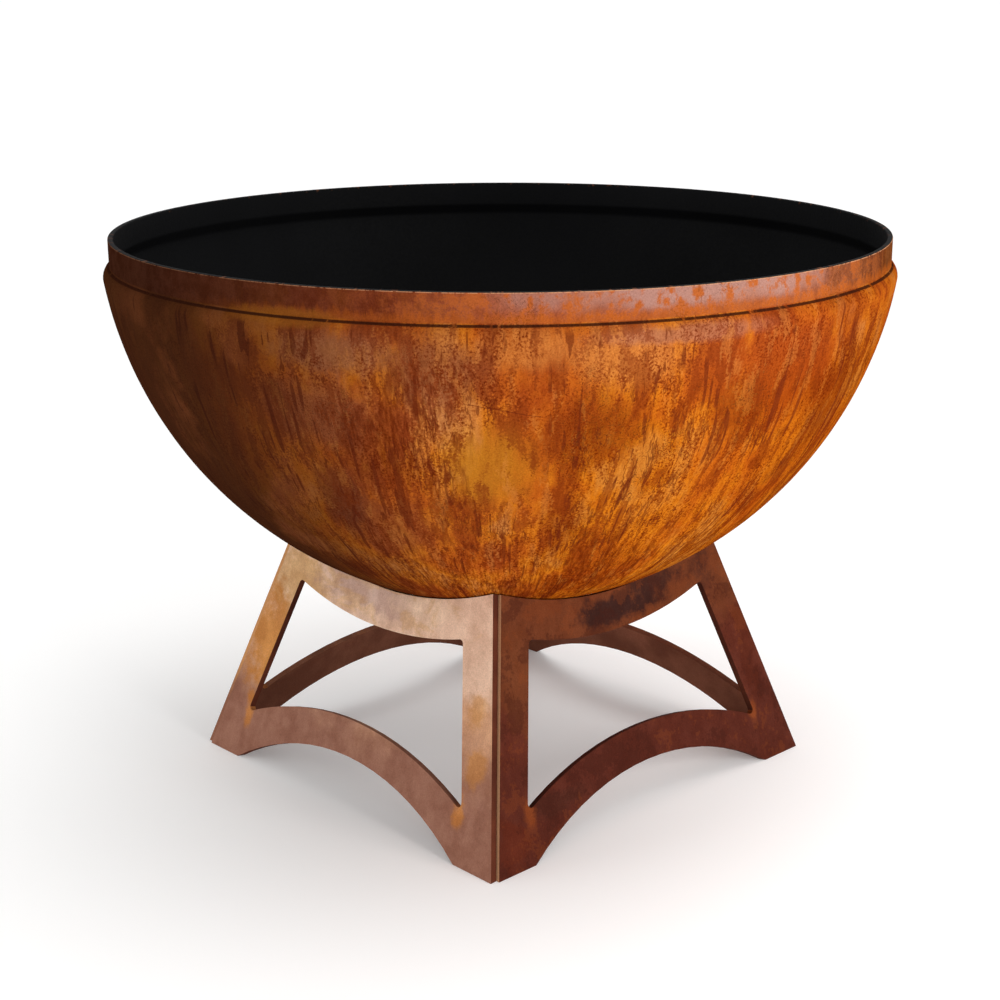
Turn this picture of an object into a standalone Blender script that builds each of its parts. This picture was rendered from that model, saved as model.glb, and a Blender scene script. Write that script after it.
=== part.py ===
"""Weathering-steel fire pit: a pressed bowl on a base of four leaning plates, with a lift-out round grate.

The frame: +Z up, origin on the ground under the middle of the bowl. The base plates face +X, +Y, -X and -Y.
"""

from math import acos, asin, atan2, cos, pi, radians, sin, sqrt, tan

import bmesh
import bpy
from mathutils import Matrix, Vector

# Driving dimensions, in metres and radians.
GAP = 0.0003                      # left between pieces that touch

BOWL_RADIUS = 0.4625              # outside of the dish, measured from its centre
BOWL_CENTRE_Z = 0.6766
BOWL_WALL = 0.006
SHOULDER_TOP_Z = 0.6245           # where the dish is stepped in to the band
SHOULDER_ROUND = 0.014
BAND_RADIUS = 0.4503              # outside of the upright band
RIM_Z = 0.6543
RIM_CHAMFER = 0.0008
DRAIN_RADIUS = 0.0125
BOWL_STEPS = 64                   # round the axis
DISH_STEPS = 16                   # down the dish
ROUND_STEPS = 4                   # round a small radius

BASE_HALF = 0.265                 # half the side of the square that the outer faces make on the ground
LEAN = radians(16.35)             # of each plate, from upright
PLATE = 0.008                     # plate thickness
CORNER_STEP = 0.0035              # how far a plate's through end stops short of its neighbour's outer face
LEG_WIDTH = 0.0515
FOOT_ARCH_HALF = 0.200            # half the width of the arch between a plate's two feet
FOOT_ARCH_RISE = 0.061
SILL_HEIGHT = 0.1035              # of the window's lower edge at its middle, up the plate
SILL_RADIUS = 0.450
CRADLE_DEPTH = 0.045              # from the window's upper edge to the edge that holds the bowl
WINDOW_ROUND = 0.005
ARC_STEPS = 18                    # along each long arc of a plate
FOOT_SPARE = 0.006                # cut off flush with the ground

CORNER_WELD_RADIUS = 0.004
CORNER_WELD_TOP = 0.272
CRADLE_WELD_RADIUS = 0.0035
CRADLE_WELD_ANGLE = radians(14)   # to each side of the plate's middle
CRADLE_WELD_STEPS = 12

RING_RADIUS = 0.265               # the grate's outer ring, to the middle of its bar
RING_BAR = 0.008
GRATE_BAR = 0.007
GRATE_BARS = 9
GRATE_PITCH = 0.055
BEARER_X = 0.140
BEARER_WIDTH = 0.006

# Worked out from those.
BOWL_INSIDE = BOWL_RADIUS - BOWL_WALL
SHOULDER_Z = SHOULDER_TOP_Z - SHOULDER_ROUND
SHOULDER_R = sqrt((BOWL_RADIUS - SHOULDER_ROUND) ** 2 - (BOWL_CENTRE_Z - SHOULDER_Z) ** 2)
SINE = sin(LEAN)
COSINE = cos(LEAN)
OUTER_FACE = COSINE * BASE_HALF - SINE * BOWL_CENTRE_Z    # from the bowl's centre to a plate's outer face
INNER_FACE = OUTER_FACE - PLATE
CRADLE_CENTRE = SINE * BASE_HALF + COSINE * BOWL_CENTRE_Z     # up the plate, at its middle
CRADLE_RADIUS = sqrt(BOWL_RADIUS ** 2 - INNER_FACE ** 2) + GAP
THROUGH_END = BASE_HALF - CORNER_STEP / COSINE
BUTTED_END = BASE_HALF - (PLATE + GAP) / COSINE
RING_Z = BOWL_CENTRE_Z - sqrt((BOWL_INSIDE - RING_BAR - GAP) ** 2 - RING_RADIUS ** 2)
BAR_Z = RING_Z + RING_BAR + GRATE_BAR + GAP

COLOURS = {
    "rusted_bowl": ((0.42, 0.13, 0.03), 0.75, 0.3),
    "rusted_plate": ((0.30, 0.12, 0.06), 0.85, 0.2),
    "weld": ((0.22, 0.09, 0.05), 0.7, 0.4),
    "grate": ((0.03, 0.028, 0.027), 0.8, 0.6),
}


def make_material(name):
    colour, roughness, metallic = COLOURS[name]
    material = bpy.data.materials.new(name)
    material.use_nodes = True
    shader = material.node_tree.nodes["Principled BSDF"]
    shader.inputs["Base Color"].default_value = (*colour, 1.0)
    shader.inputs["Roughness"].default_value = roughness
    shader.inputs["Metallic"].default_value = metallic
    return material


def new_collection(name):
    collection = bpy.data.collections.new(name)
    bpy.context.scene.collection.children.link(collection)
    return collection


def add_object(name, data, collection, matrix=None):
    thing = bpy.data.objects.new(name, data)
    collection.objects.link(thing)
    if matrix:
        thing.matrix_world = matrix
    return thing


def give_material(thing, kind):
    """Each piece has a material of its own, made like others of its kind."""
    thing.data.materials.append(make_material(kind))


def curve_data(name, dimensions, splines, cyclic):
    curve = bpy.data.curves.new(name, "CURVE")
    curve.dimensions = dimensions
    for points in splines:
        spline = curve.splines.new("POLY")
        spline.points.add(len(points) - 1)
        for point, place in zip(spline.points, points):
            point.co = (*Vector(place).to_3d(), 1.0)
        spline.use_cyclic_u = cyclic
    return curve


def mesh_from_curve(thing):
    """Turns a curve object into a welded mesh object of the same name and place."""
    name, matrix, collection = thing.name, thing.matrix_world.copy(), thing.users_collection[0]
    bpy.context.view_layer.update()
    graph = bpy.context.evaluated_depsgraph_get()
    mesh = bpy.data.meshes.new_from_object(thing.evaluated_get(graph))
    bpy.data.objects.remove(thing)
    shape = bmesh.new()
    shape.from_mesh(mesh)
    bmesh.ops.remove_doubles(shape, verts=shape.verts, dist=0.00001)
    bmesh.ops.recalc_face_normals(shape, faces=shape.faces)
    shape.to_mesh(mesh)
    shape.free()
    return add_object(name, mesh, collection, matrix)


def arc(centre, radius, start, end, steps):
    """Points along a circle from one angle to another, both ends included."""
    angles = [start + (end - start) * step / steps for step in range(steps + 1)]
    return [Vector((centre[0] + radius * cos(a), centre[1] + radius * sin(a))) for a in angles]


def rounded(before, corner, after, radius):
    """An arc that rounds off a corner between two edges."""
    back = (before - corner).normalized()
    on = (after - corner).normalized()
    half = acos(back.dot(on)) / 2
    centre = corner + (back + on).normalized() * radius / sin(half)
    start = corner + back * radius / tan(half) - centre
    end = corner + on * radius / tan(half) - centre
    first = atan2(start.y, start.x)
    turn = (atan2(end.y, end.x) - first + pi) % (2 * pi) - pi
    return arc(centre, radius, first, first + turn, ROUND_STEPS)


def round_corners(points, corners, radius):
    """The closed outline with each listed corner rounded."""
    result = []
    for index, point in enumerate(points):
        if index in corners:
            result += rounded(points[index - 1], point, points[(index + 1) % len(points)], radius)
        else:
            result.append(point)
    return result


def bowl_profile():
    """The wall's section: down the outside from the rim to the drain, then up the inside."""
    tangent = asin((SHOULDER_Z - BOWL_CENTRE_Z) / (BOWL_RADIUS - SHOULDER_ROUND))
    shoulder = (SHOULDER_R, SHOULDER_Z)
    dish = (0.0, BOWL_CENTRE_Z)
    inside_round = SHOULDER_ROUND - BOWL_WALL
    inside_band = BAND_RADIUS - BOWL_WALL
    outer_crease = acos((BAND_RADIUS - SHOULDER_R) / SHOULDER_ROUND)
    inner_crease = acos((inside_band - SHOULDER_R) / inside_round)
    outer_drain = -acos(DRAIN_RADIUS / BOWL_RADIUS)
    inner_drain = -acos(DRAIN_RADIUS / BOWL_INSIDE)
    rim = [
        (inside_band, RIM_Z - RIM_CHAMFER),
        (inside_band + RIM_CHAMFER, RIM_Z),
        (BAND_RADIUS - RIM_CHAMFER, RIM_Z),
        (BAND_RADIUS, RIM_Z - RIM_CHAMFER),
    ]
    outside = arc(shoulder, SHOULDER_ROUND, outer_crease, tangent, ROUND_STEPS)
    outside += arc(dish, BOWL_RADIUS, tangent, outer_drain, DISH_STEPS)[1:]
    inside = arc(dish, BOWL_INSIDE, inner_drain, tangent, DISH_STEPS)
    inside += arc(shoulder, inside_round, tangent, inner_crease, ROUND_STEPS)[1:]
    return [Vector(point) for point in rim] + outside + inside


def make_bowl(collection):
    profile = bowl_profile()
    mesh = bpy.data.meshes.new("bowl")
    edges = [(index, (index + 1) % len(profile)) for index in range(len(profile))]
    mesh.from_pydata([(point.x, 0.0, point.y) for point in profile], edges, [])
    bowl = add_object("bowl", mesh, collection)
    screw = bowl.modifiers.new("turn", "SCREW")
    screw.steps = screw.render_steps = BOWL_STEPS
    screw.use_merge_vertices = True
    screw.merge_threshold = 0.00001
    screw.use_smooth_shade = True
    give_material(bowl, "rusted_bowl")


def height_where(end, centre, radius, side):
    """How far up the plate a leaning line, end - SINE * v, meets a circle centred on the middle line."""
    a = 1 + SINE ** 2
    b = -2 * (end * SINE + centre)
    c = end ** 2 + centre ** 2 - radius ** 2
    return (-b + side * sqrt(b ** 2 - 4 * a * c)) / (2 * a)


def point_on(end, height):
    return Vector((end - SINE * height, height))


def angle_from(centre, point):
    return atan2(point.y - centre, point.x)


def mirrored(point):
    return Vector((-point.x, point.y))


def plate_outline():
    """Round a plate's edge, in its own plane: its through end, the cradle, its butted end, then its feet."""
    right_foot = point_on(THROUGH_END, -FOOT_SPARE)
    left_foot = mirrored(point_on(BUTTED_END, -FOOT_SPARE))
    right_tip = point_on(THROUGH_END, height_where(THROUGH_END, CRADLE_CENTRE, CRADLE_RADIUS, -1))
    left_tip = mirrored(point_on(BUTTED_END, height_where(BUTTED_END, CRADLE_CENTRE, CRADLE_RADIUS, -1)))
    start = angle_from(CRADLE_CENTRE, right_tip)
    end = angle_from(CRADLE_CENTRE, left_tip)
    cradle = arc((0.0, CRADLE_CENTRE), CRADLE_RADIUS, start, end, ARC_STEPS)

    arch_radius = (FOOT_ARCH_HALF ** 2 + FOOT_ARCH_RISE ** 2) / (2 * FOOT_ARCH_RISE)
    arch_centre = FOOT_ARCH_RISE - arch_radius
    swing = asin(FOOT_ARCH_HALF / arch_radius)
    arch = arc((0.0, arch_centre), arch_radius, pi / 2 + swing, pi / 2 - swing, ARC_STEPS)
    arch_left = Vector((-FOOT_ARCH_HALF, -FOOT_SPARE))
    return [right_foot, *cradle, left_foot, arch_left, *arch, mirrored(arch_left)]


def window_outline():
    """The opening: parallel to both legs and to the cradle, over an arched sill."""
    leg = BASE_HALF - LEG_WIDTH
    head_radius = CRADLE_RADIUS + CRADLE_DEPTH
    sill_centre = SILL_HEIGHT - SILL_RADIUS
    head_corner = point_on(leg, height_where(leg, CRADLE_CENTRE, head_radius, -1))
    sill_corner = point_on(leg, height_where(leg, sill_centre, SILL_RADIUS, 1))
    head_angle = angle_from(CRADLE_CENTRE, head_corner)
    sill_angle = angle_from(sill_centre, sill_corner)
    head = arc((0.0, CRADLE_CENTRE), head_radius, head_angle, -pi - head_angle, ARC_STEPS)
    sill = arc((0.0, sill_centre), SILL_RADIUS, pi - sill_angle, sill_angle, ARC_STEPS)
    last_of_head = len(head) - 1
    corners = (0, last_of_head, last_of_head + 1, last_of_head + len(sill))
    return round_corners(head + sill, corners, WINDOW_ROUND)


def facing(quarter):
    """The frame of the plate that faces +X, turned by quarters: across, up the plate, out of its face."""
    plate_axes = Matrix(((0.0, -SINE, COSINE), (1.0, 0.0, 0.0), (0.0, COSINE, SINE)))
    return Matrix.Rotation(quarter * pi / 2, 4, "Z"), plate_axes.to_4x4()


def add_ground_cutter(collection):
    size, depth = 4 * BASE_HALF, 0.05
    bpy.ops.mesh.primitive_cube_add(size=1, location=(0, 0, -depth / 2))
    cutter = bpy.context.object
    cutter.name = "ground_cutter"
    cutter.scale = (size, size, depth)
    bpy.ops.object.transform_apply(location=True, rotation=True, scale=True)
    for other in cutter.users_collection:
        other.objects.unlink(cutter)
    collection.objects.link(cutter)
    cutter.hide_render = True
    cutter.display_type = "WIRE"
    return cutter


def make_base_plate(name, quarter, collection, cutter):
    turn, axes = facing(quarter)
    curve = curve_data(name, "2D", [plate_outline(), window_outline()], True)
    curve.fill_mode = "BOTH"
    curve.extrude = PLATE / 2
    middle = Matrix.Translation((BASE_HALF, 0, 0)) @ axes @ Matrix.Translation((0, 0, -PLATE / 2))
    plate = mesh_from_curve(add_object(name, curve, collection, turn @ middle))
    cut = plate.modifiers.new("flush feet", "BOOLEAN")
    cut.operation = "DIFFERENCE"
    cut.object = cutter
    give_material(plate, "rusted_plate")


def make_bead(name, points, radius, collection, matrix):
    """A weld bead: a round bar along a line of points, with closed ends."""
    curve = curve_data(name, "3D", [points], False)
    curve.bevel_depth = radius
    curve.bevel_resolution = 1
    curve.use_fill_caps = True
    bead = mesh_from_curve(add_object(name, curve, collection, matrix))
    bead.data.shade_smooth()
    bead.data.set_sharp_from_angle(angle=radians(50))
    give_material(bead, "weld")


def make_corner_weld(name, quarter, collection):
    """Along the inside of the corner between the plates that face +X and +Y, turned by quarters."""
    def inside_corner(height):
        side = BASE_HALF - (PLATE + CORNER_WELD_RADIUS + GAP) / COSINE - height * tan(LEAN)
        return side, side, height

    points = [inside_corner(CORNER_WELD_RADIUS + GAP), inside_corner(CORNER_WELD_TOP)]
    make_bead(name, points, CORNER_WELD_RADIUS, collection, facing(quarter)[0])


def make_cradle_weld(name, quarter, collection):
    """Under the bowl, along the inner face of a plate."""
    turn, axes = facing(quarter)
    off_face = INNER_FACE - CRADLE_WELD_RADIUS - GAP
    radius = sqrt((BOWL_RADIUS + CRADLE_WELD_RADIUS + GAP) ** 2 - off_face ** 2)
    down = -pi / 2
    line = arc((0, 0), radius, down - CRADLE_WELD_ANGLE, down + CRADLE_WELD_ANGLE, CRADLE_WELD_STEPS)
    points = [(point.x, point.y, off_face) for point in line]
    matrix = turn @ Matrix.Translation((0, 0, BOWL_CENTRE_Z)) @ axes
    make_bead(name, points, CRADLE_WELD_RADIUS, collection, matrix)


def put_in(thing, name, collection):
    for other in thing.users_collection:
        other.objects.unlink(thing)
    collection.objects.link(thing)
    thing.name = thing.data.name = name


def make_grate_ring(collection, holder):
    bpy.ops.mesh.primitive_torus_add(
        location=(0, 0, RING_Z), major_radius=RING_RADIUS, minor_radius=RING_BAR,
        major_segments=48, minor_segments=10)
    ring = bpy.context.object
    put_in(ring, "grate_ring", collection)
    ring.data.shade_smooth()
    ring.parent = holder
    give_material(ring, "grate")


def make_grate_bearer(name, x, collection, holder):
    """A flat bar on edge, let in between opposite sides of the ring."""
    inside = RING_RADIUS - RING_BAR - 2 * GAP
    length = 2 * sqrt(inside ** 2 - (abs(x) + BEARER_WIDTH / 2) ** 2)
    bpy.ops.mesh.primitive_cube_add(size=1, location=(x, 0, RING_Z))
    bearer = bpy.context.object
    bearer.scale = (BEARER_WIDTH, length, 2 * RING_BAR)
    bpy.ops.object.transform_apply(location=False, rotation=True, scale=True)
    put_in(bearer, name, collection)
    bearer.parent = holder
    give_material(bearer, "grate")


def make_grate_bar(name, y, collection, holder):
    """A round bar laid across the ring and the bearers."""
    length = 2 * sqrt(RING_RADIUS ** 2 - y ** 2)
    bpy.ops.mesh.primitive_cylinder_add(
        vertices=12, radius=GRATE_BAR, depth=length, location=(0, y, BAR_Z), rotation=(0, pi / 2, 0))
    bar = bpy.context.object
    put_in(bar, name, collection)
    bar.data.shade_smooth()
    bar.data.set_sharp_from_angle(angle=radians(50))
    bar.parent = holder
    give_material(bar, "grate")


def make_grate(collection):
    holder = add_object("grate_lift", None, collection)
    make_grate_ring(collection, holder)
    for index, side in enumerate((-1, 1), start=1):
        make_grate_bearer(f"grate_bearer_{index}", side * BEARER_X, collection, holder)
    for index in range(GRATE_BARS):
        y = (index - (GRATE_BARS - 1) / 2) * GRATE_PITCH
        make_grate_bar(f"grate_bar_{index + 1}", y, collection, holder)


def make_base(collection, cutter):
    for quarter, side in enumerate(("right", "back", "left", "front")):
        make_base_plate(f"base_plate_{side}", quarter, collection, cutter)
        make_cradle_weld(f"cradle_weld_{side}", quarter, collection)
    for quarter, corner in enumerate(("back_right", "back_left", "front_left", "front_right")):
        make_corner_weld(f"corner_weld_{corner}", quarter, collection)


def main():
    for thing in list(bpy.data.objects):
        bpy.data.objects.remove(thing)
    parts = new_collection("fire_pit")
    cutters = new_collection("cutters")
    make_bowl(parts)
    make_base(parts, add_ground_cutter(cutters))
    make_grate(parts)


main()
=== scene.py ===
"""Looks of the weathering-steel fire pit: rust patina, heat paint, weld beads, camera and studio.

Everything is in metres in the row frame: +Z up, origin on the ground under the middle of the bowl.
"""

from math import acos, asin, atan2, cos, pi, radians, sin, sqrt, tan

import bmesh
import bpy
from mathutils import Matrix, Vector, noise


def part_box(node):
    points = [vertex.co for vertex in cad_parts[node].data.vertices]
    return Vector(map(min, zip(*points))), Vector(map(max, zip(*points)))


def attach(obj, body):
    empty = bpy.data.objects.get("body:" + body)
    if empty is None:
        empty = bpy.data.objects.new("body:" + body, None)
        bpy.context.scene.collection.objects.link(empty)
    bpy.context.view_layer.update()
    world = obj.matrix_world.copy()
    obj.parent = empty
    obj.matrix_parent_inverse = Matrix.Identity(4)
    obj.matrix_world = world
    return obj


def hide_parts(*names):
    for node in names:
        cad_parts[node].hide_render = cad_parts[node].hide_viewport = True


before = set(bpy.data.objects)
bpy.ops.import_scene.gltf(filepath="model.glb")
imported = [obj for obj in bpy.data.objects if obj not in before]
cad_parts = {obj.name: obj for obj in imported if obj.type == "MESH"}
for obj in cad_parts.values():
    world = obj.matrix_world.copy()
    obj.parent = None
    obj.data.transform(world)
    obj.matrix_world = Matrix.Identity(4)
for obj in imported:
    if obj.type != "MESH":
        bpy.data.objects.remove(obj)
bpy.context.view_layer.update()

# The camera, as the photograph was taken.
CAMERA_TURN = radians(46.42)
CAMERA_DISTANCE = 2.1412
CAMERA_HEIGHT = 0.9474
CAMERA_PITCH = radians(16.306)
CAMERA_ROLL = -0.0026
CAMERA_LENS = 65.83
CAMERA_SHIFT = -0.0009
CAMERA_AZIMUTH = CAMERA_TURN - pi / 2     # of the camera, seen from the bowl's axis

# The part's own dimensions, as its design has them.
BOWL_RADIUS = 0.4625
BOWL_CENTRE_Z = 0.6766
BOWL_WALL = 0.006
SHOULDER_TOP_Z = 0.6245
SHOULDER_ROUND = 0.014
BAND_RADIUS = 0.4503
DRAIN_RADIUS = 0.0125
BASE_HALF = 0.265
LEAN = radians(16.35)
PLATE = 0.008
WINDOW_CORNER_ACROSS = 0.194
WINDOW_CORNER_Z = 0.058
RIM_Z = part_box("bowl")[1].z

SHOULDER_Z = SHOULDER_TOP_Z - SHOULDER_ROUND
SHOULDER_R = sqrt((BOWL_RADIUS - SHOULDER_ROUND) ** 2 - (BOWL_CENTRE_Z - SHOULDER_Z) ** 2)
SINE = sin(LEAN)
COSINE = cos(LEAN)
SIDES = ("right", "back", "left", "front")          # the plates facing +X, +Y, -X and -Y
CORNERS = ("back_right", "back_left", "front_left", "front_right")


# ---------------------------------------------------------------- shader helpers

class Shading:
    """One procedural material, with short ways to add its nodes."""

    def __init__(self, name):
        self.material = bpy.data.materials.new(name)
        self.material.use_nodes = True
        self.tree = self.material.node_tree
        self.shader = self.tree.nodes["Principled BSDF"]
        self.place = self.tree.nodes.new("ShaderNodeTexCoord").outputs["Object"]

    def put(self, value, socket):
        """Feed a socket: with a link if the value is another socket, else as a constant."""
        if isinstance(value, bpy.types.NodeSocket):
            self.tree.links.new(value, socket)
        else:
            socket.default_value = value

    def math(self, operation, first, second=0.0, third=0.0):
        node = self.tree.nodes.new("ShaderNodeMath")
        node.operation = operation
        for value, socket in zip((first, second, third), node.inputs):
            self.put(value, socket)
        return node.outputs[0]

    def vector(self, operation, first, second=(0.0, 0.0, 0.0)):
        node = self.tree.nodes.new("ShaderNodeVectorMath")
        node.operation = operation
        self.put(first, node.inputs[0])
        self.put(second, node.inputs[1])
        return node.outputs["Value"] if operation in ("LENGTH", "DOT_PRODUCT") else node.outputs[0]

    def separate(self, vector):
        node = self.tree.nodes.new("ShaderNodeSeparateXYZ")
        self.put(vector, node.inputs[0])
        return node.outputs[0], node.outputs[1], node.outputs[2]

    def combine(self, x, y, z):
        node = self.tree.nodes.new("ShaderNodeCombineXYZ")
        for value, socket in zip((x, y, z), node.inputs):
            self.put(value, socket)
        return node.outputs[0]

    def noise(self, where, scale, detail=3.0, roughness=0.5, distortion=0.0):
        node = self.tree.nodes.new("ShaderNodeTexNoise")
        self.put(where, node.inputs["Vector"])
        node.inputs["Scale"].default_value = scale
        node.inputs["Detail"].default_value = detail
        node.inputs["Roughness"].default_value = roughness
        node.inputs["Distortion"].default_value = distortion
        return node.outputs["Fac"]

    def step(self, value, low, high):
        """0 below low and 1 above high, or the other way round, with a smooth change between."""
        node = self.tree.nodes.new("ShaderNodeMapRange")
        node.interpolation_type = "SMOOTHSTEP"
        self.put(value, node.inputs["Value"])
        falling = low > high
        node.inputs["From Min"].default_value = min(low, high)
        node.inputs["From Max"].default_value = max(low, high)
        node.inputs["To Min"].default_value = 1.0 if falling else 0.0
        node.inputs["To Max"].default_value = 0.0 if falling else 1.0
        return node.outputs["Result"]

    def band(self, value, low, high, edge):
        """1 between low and high, fading out over edge on both sides."""
        rising = self.step(value, low - edge, low)
        falling = self.step(value, high + edge, high)
        return self.math("MULTIPLY", rising, falling)

    def times(self, *values):
        result = values[0]
        for value in values[1:]:
            result = self.math("MULTIPLY", result, value)
        return result

    def mix(self, factor, first, second):
        """The first colour where factor is 0, the second where it is 1."""
        node = self.tree.nodes.new("ShaderNodeMix")
        node.data_type = "RGBA"
        node.blend_type = "MIX"
        node.clamp_factor = True
        self.put(factor, node.inputs[0])
        colour_sockets = node.inputs[6], node.inputs[7]
        for value, socket in zip((first, second), colour_sockets):
            self.put(value if isinstance(value, bpy.types.NodeSocket) else (*value, 1.0), socket)
        return node.outputs[2]

    def ramp(self, value, *stops):
        """A colour that runs through the given (position, colour) stops."""
        node = self.tree.nodes.new("ShaderNodeValToRGB")
        self.put(value, node.inputs[0])
        elements = node.color_ramp.elements
        while len(elements) < len(stops):
            elements.new(1.0)
        for element, (position, colour) in zip(elements, stops):
            element.position = position
            element.color = (*colour, 1.0)
        return node.outputs["Color"]

    def tint(self, colour, value, dark, light):
        """The colour times a colour that runs from dark to light as value runs from 0 to 1."""
        node = self.tree.nodes.new("ShaderNodeVectorMath")
        node.operation = "MULTIPLY_ADD"
        self.put(value, node.inputs[0])
        node.inputs[1].default_value = Vector(light) - Vector(dark)
        node.inputs[2].default_value = dark
        return self.vector("MULTIPLY", colour, node.outputs[0])

    def bump(self, height, distance):
        node = self.tree.nodes.new("ShaderNodeBump")
        node.inputs["Distance"].default_value = distance
        self.put(height, node.inputs["Height"])
        return node.outputs["Normal"]

    def finish(self, colour, roughness, normal, metallic=0.0, specular=0.5):
        self.put(colour, self.shader.inputs["Base Color"])
        self.put(roughness, self.shader.inputs["Roughness"])
        self.shader.inputs["Metallic"].default_value = metallic
        self.shader.inputs["Specular IOR Level"].default_value = specular
        self.put(normal, self.shader.inputs["Normal"])
        return self.material


# ---------------------------------------------------------------- rust on the bowl

ORANGE = (0.36, 0.078, 0.008)
AMBER = (0.43, 0.118, 0.009)
TAWNY = (0.42, 0.140, 0.030)
RED_OXIDE = (0.26, 0.044, 0.006)
RUSSET = (0.17, 0.027, 0.005)
BROWN = (0.20, 0.056, 0.020)
OCHRE = (0.35, 0.128, 0.010)
CLAY_AND_SHEEN = (0.25, 0.092, 0.042)
MAUVE_AND_SHEEN = (0.27, 0.100, 0.055)
PLUM = (0.075, 0.020, 0.013)
# Painted shade for the side to the camera's left.
PAINTED_SHADE_UMBER = (0.037, 0.0118, 0.0050)
DRIED = (0.110, 0.015, 0.004)
# Painted shade, for the crease and for marks on the side to the camera's left.
PAINTED_SHADE_DARK = (0.030, 0.008, 0.004)
BARE_LIP_AND_HIGHLIGHT = (0.55, 0.27, 0.14)
# Painted sheen for the band.
BAND_SHEEN = (0.33, 0.172, 0.138)
DULL_YELLOW = (0.26, 0.085, 0.010)
WORN_PAINT = (0.20, 0.07, 0.03)
GREY_LOW = (0.030, 0.028, 0.027)

# The band's colour from the camera's left to its right, at places from 0 to 1: painted shade makes it dark
# on the left, and it is darker again at the far right.
BAND_COLOURS_WITH_SHADE = (
    (0.08, (0.036, 0.0105, 0.0055)),
    (0.22, (0.058, 0.014, 0.007)),
    (0.38, (0.13, 0.027, 0.011)),
    (0.50, (0.30, 0.075, 0.032)),
    (0.85, (0.26, 0.085, 0.040)),
    (0.96, (0.080, 0.023, 0.008)),
)

# Patches of the bowl's patina, a few of them with painted sheen: degrees right of the camera, degrees of
# latitude, half the width and half the height in degrees, colour, strength.
BOWL_PATCHES = (
    (3, -9.5, 8, 3.0, TAWNY, 0.6),
    (-24, -19, 10, 6, CLAY_AND_SHEEN, 0.45),
    # Pale scale with a painted sheen, left near the top.
    (-21, -10.5, 9, 3.2, CLAY_AND_SHEEN, 0.75),
    (-8, -12.5, 7, 6, BROWN, 0.9),
    (-9, -19, 5, 4, CLAY_AND_SHEEN, 0.35),
    (-2, -26, 7, 7, OCHRE, 0.75),
    (-15, -24, 5, 8, RUSSET, 0.6),
    (-19, -38, 10, 8, BROWN, 0.5),
    (-25, -34, 4, 9, PLUM, 0.55),
    (-20, -28, 4, 6, PLUM, 0.30),
    (12, -21, 8, 6, RUSSET, 0.7),
    (9, -36, 3, 12, RUSSET, 0.6),
    (16, -11, 8, 4, TAWNY, 0.7),
    (29, -13, 6, 6, RED_OXIDE, 0.85),
    # Painted sheen under the crease, to the camera's right.
    (24, -8.4, 13, 1.3, MAUVE_AND_SHEEN, 0.7),
    (32, -24, 6, 8, ORANGE, 0.8),
    (39, -16, 8, 8, RED_OXIDE, 0.9),
    (33, -19, 5, 5, RUSSET, 0.6),
    (52, -9, 6, 4, RED_OXIDE, 0.6),
    (25, -40, 6, 9, AMBER, 0.5),
    (46, -28, 5, 9, AMBER, 0.5),
    (54, -22, 7, 9, RUSSET, 0.7),
    (100, -20, 14, 10, OCHRE, 0.8),
    (125, -12, 12, 5, MAUVE_AND_SHEEN, 0.6),
    (150, -28, 10, 14, RUSSET, 0.7),
    (178, -18, 14, 9, TAWNY, 0.8),
    (200, -34, 8, 12, PLUM, 0.5),
    (222, -14, 12, 6, CLAY_AND_SHEEN, 0.6),
    (245, -28, 12, 12, OCHRE, 0.5),
)


class BowlShading(Shading):
    """A material that knows where it is on the bowl, so that its marks can run down the meridians."""

    def __init__(self, name):
        super().__init__(name)
        x, y, self.z = self.separate(self.place)
        reach_squared = self.math("ADD", self.math("POWER", x, 2.0), self.math("POWER", y, 2.0))
        reach = self.math("SQRT", self.math("MAXIMUM", reach_squared, 0.000001))
        self.latitude = self.math("ARCTAN2", self.math("SUBTRACT", self.z, BOWL_CENTRE_Z), reach)
        self.straight = (self.math("DIVIDE", x, reach), self.math("DIVIDE", y, reach))
        wander = self.noise(self.place, 7.0, 1.0)
        shake = self.math("MULTIPLY_ADD", wander, 0.10, -0.05)
        self.shaken = (self.math("ADD", self.straight[0], shake),
                       self.math("SUBTRACT", self.straight[1], shake))

    def streaks(self, around, down, detail=3.0, roughness=0.6):
        """Noise drawn out down the meridians: so many marks a radian around, so many down."""
        where = self.combine(
            self.math("MULTIPLY", self.shaken[0], around),
            self.math("MULTIPLY", self.shaken[1], around),
            self.math("MULTIPLY", self.latitude, down))
        return self.noise(where, 1.0, detail, roughness)

    def towards(self, right):
        """1 on the meridian that is an angle right of the camera's, 0 a quarter turn away, -1 opposite."""
        angle = CAMERA_AZIMUTH + right
        return self.math("ADD", self.math("MULTIPLY", self.straight[0], cos(angle)),
                         self.math("MULTIPLY", self.straight[1], sin(angle)))

    def patch(self, right, latitude, half_around, half_down, ragged):
        """A patch centred on a meridian and a latitude, all in degrees; ragged shakes its soft edge."""
        across = self.math("DIVIDE", self.towards(radians(right - 90)), -sin(radians(half_around)))
        below = self.math("SUBTRACT", self.latitude, radians(latitude))
        down = self.math("DIVIDE", below, radians(half_down))
        away = self.vector("LENGTH", self.combine(across, down, 0.0))
        away = self.math("MULTIPLY_ADD", ragged, 2.4, self.math("SUBTRACT", away, 1.2))
        near_side = self.step(self.towards(radians(right)), 0.0, 0.2)
        return self.math("MULTIPLY", self.step(away, 1.25, 0.45), near_side)


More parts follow.
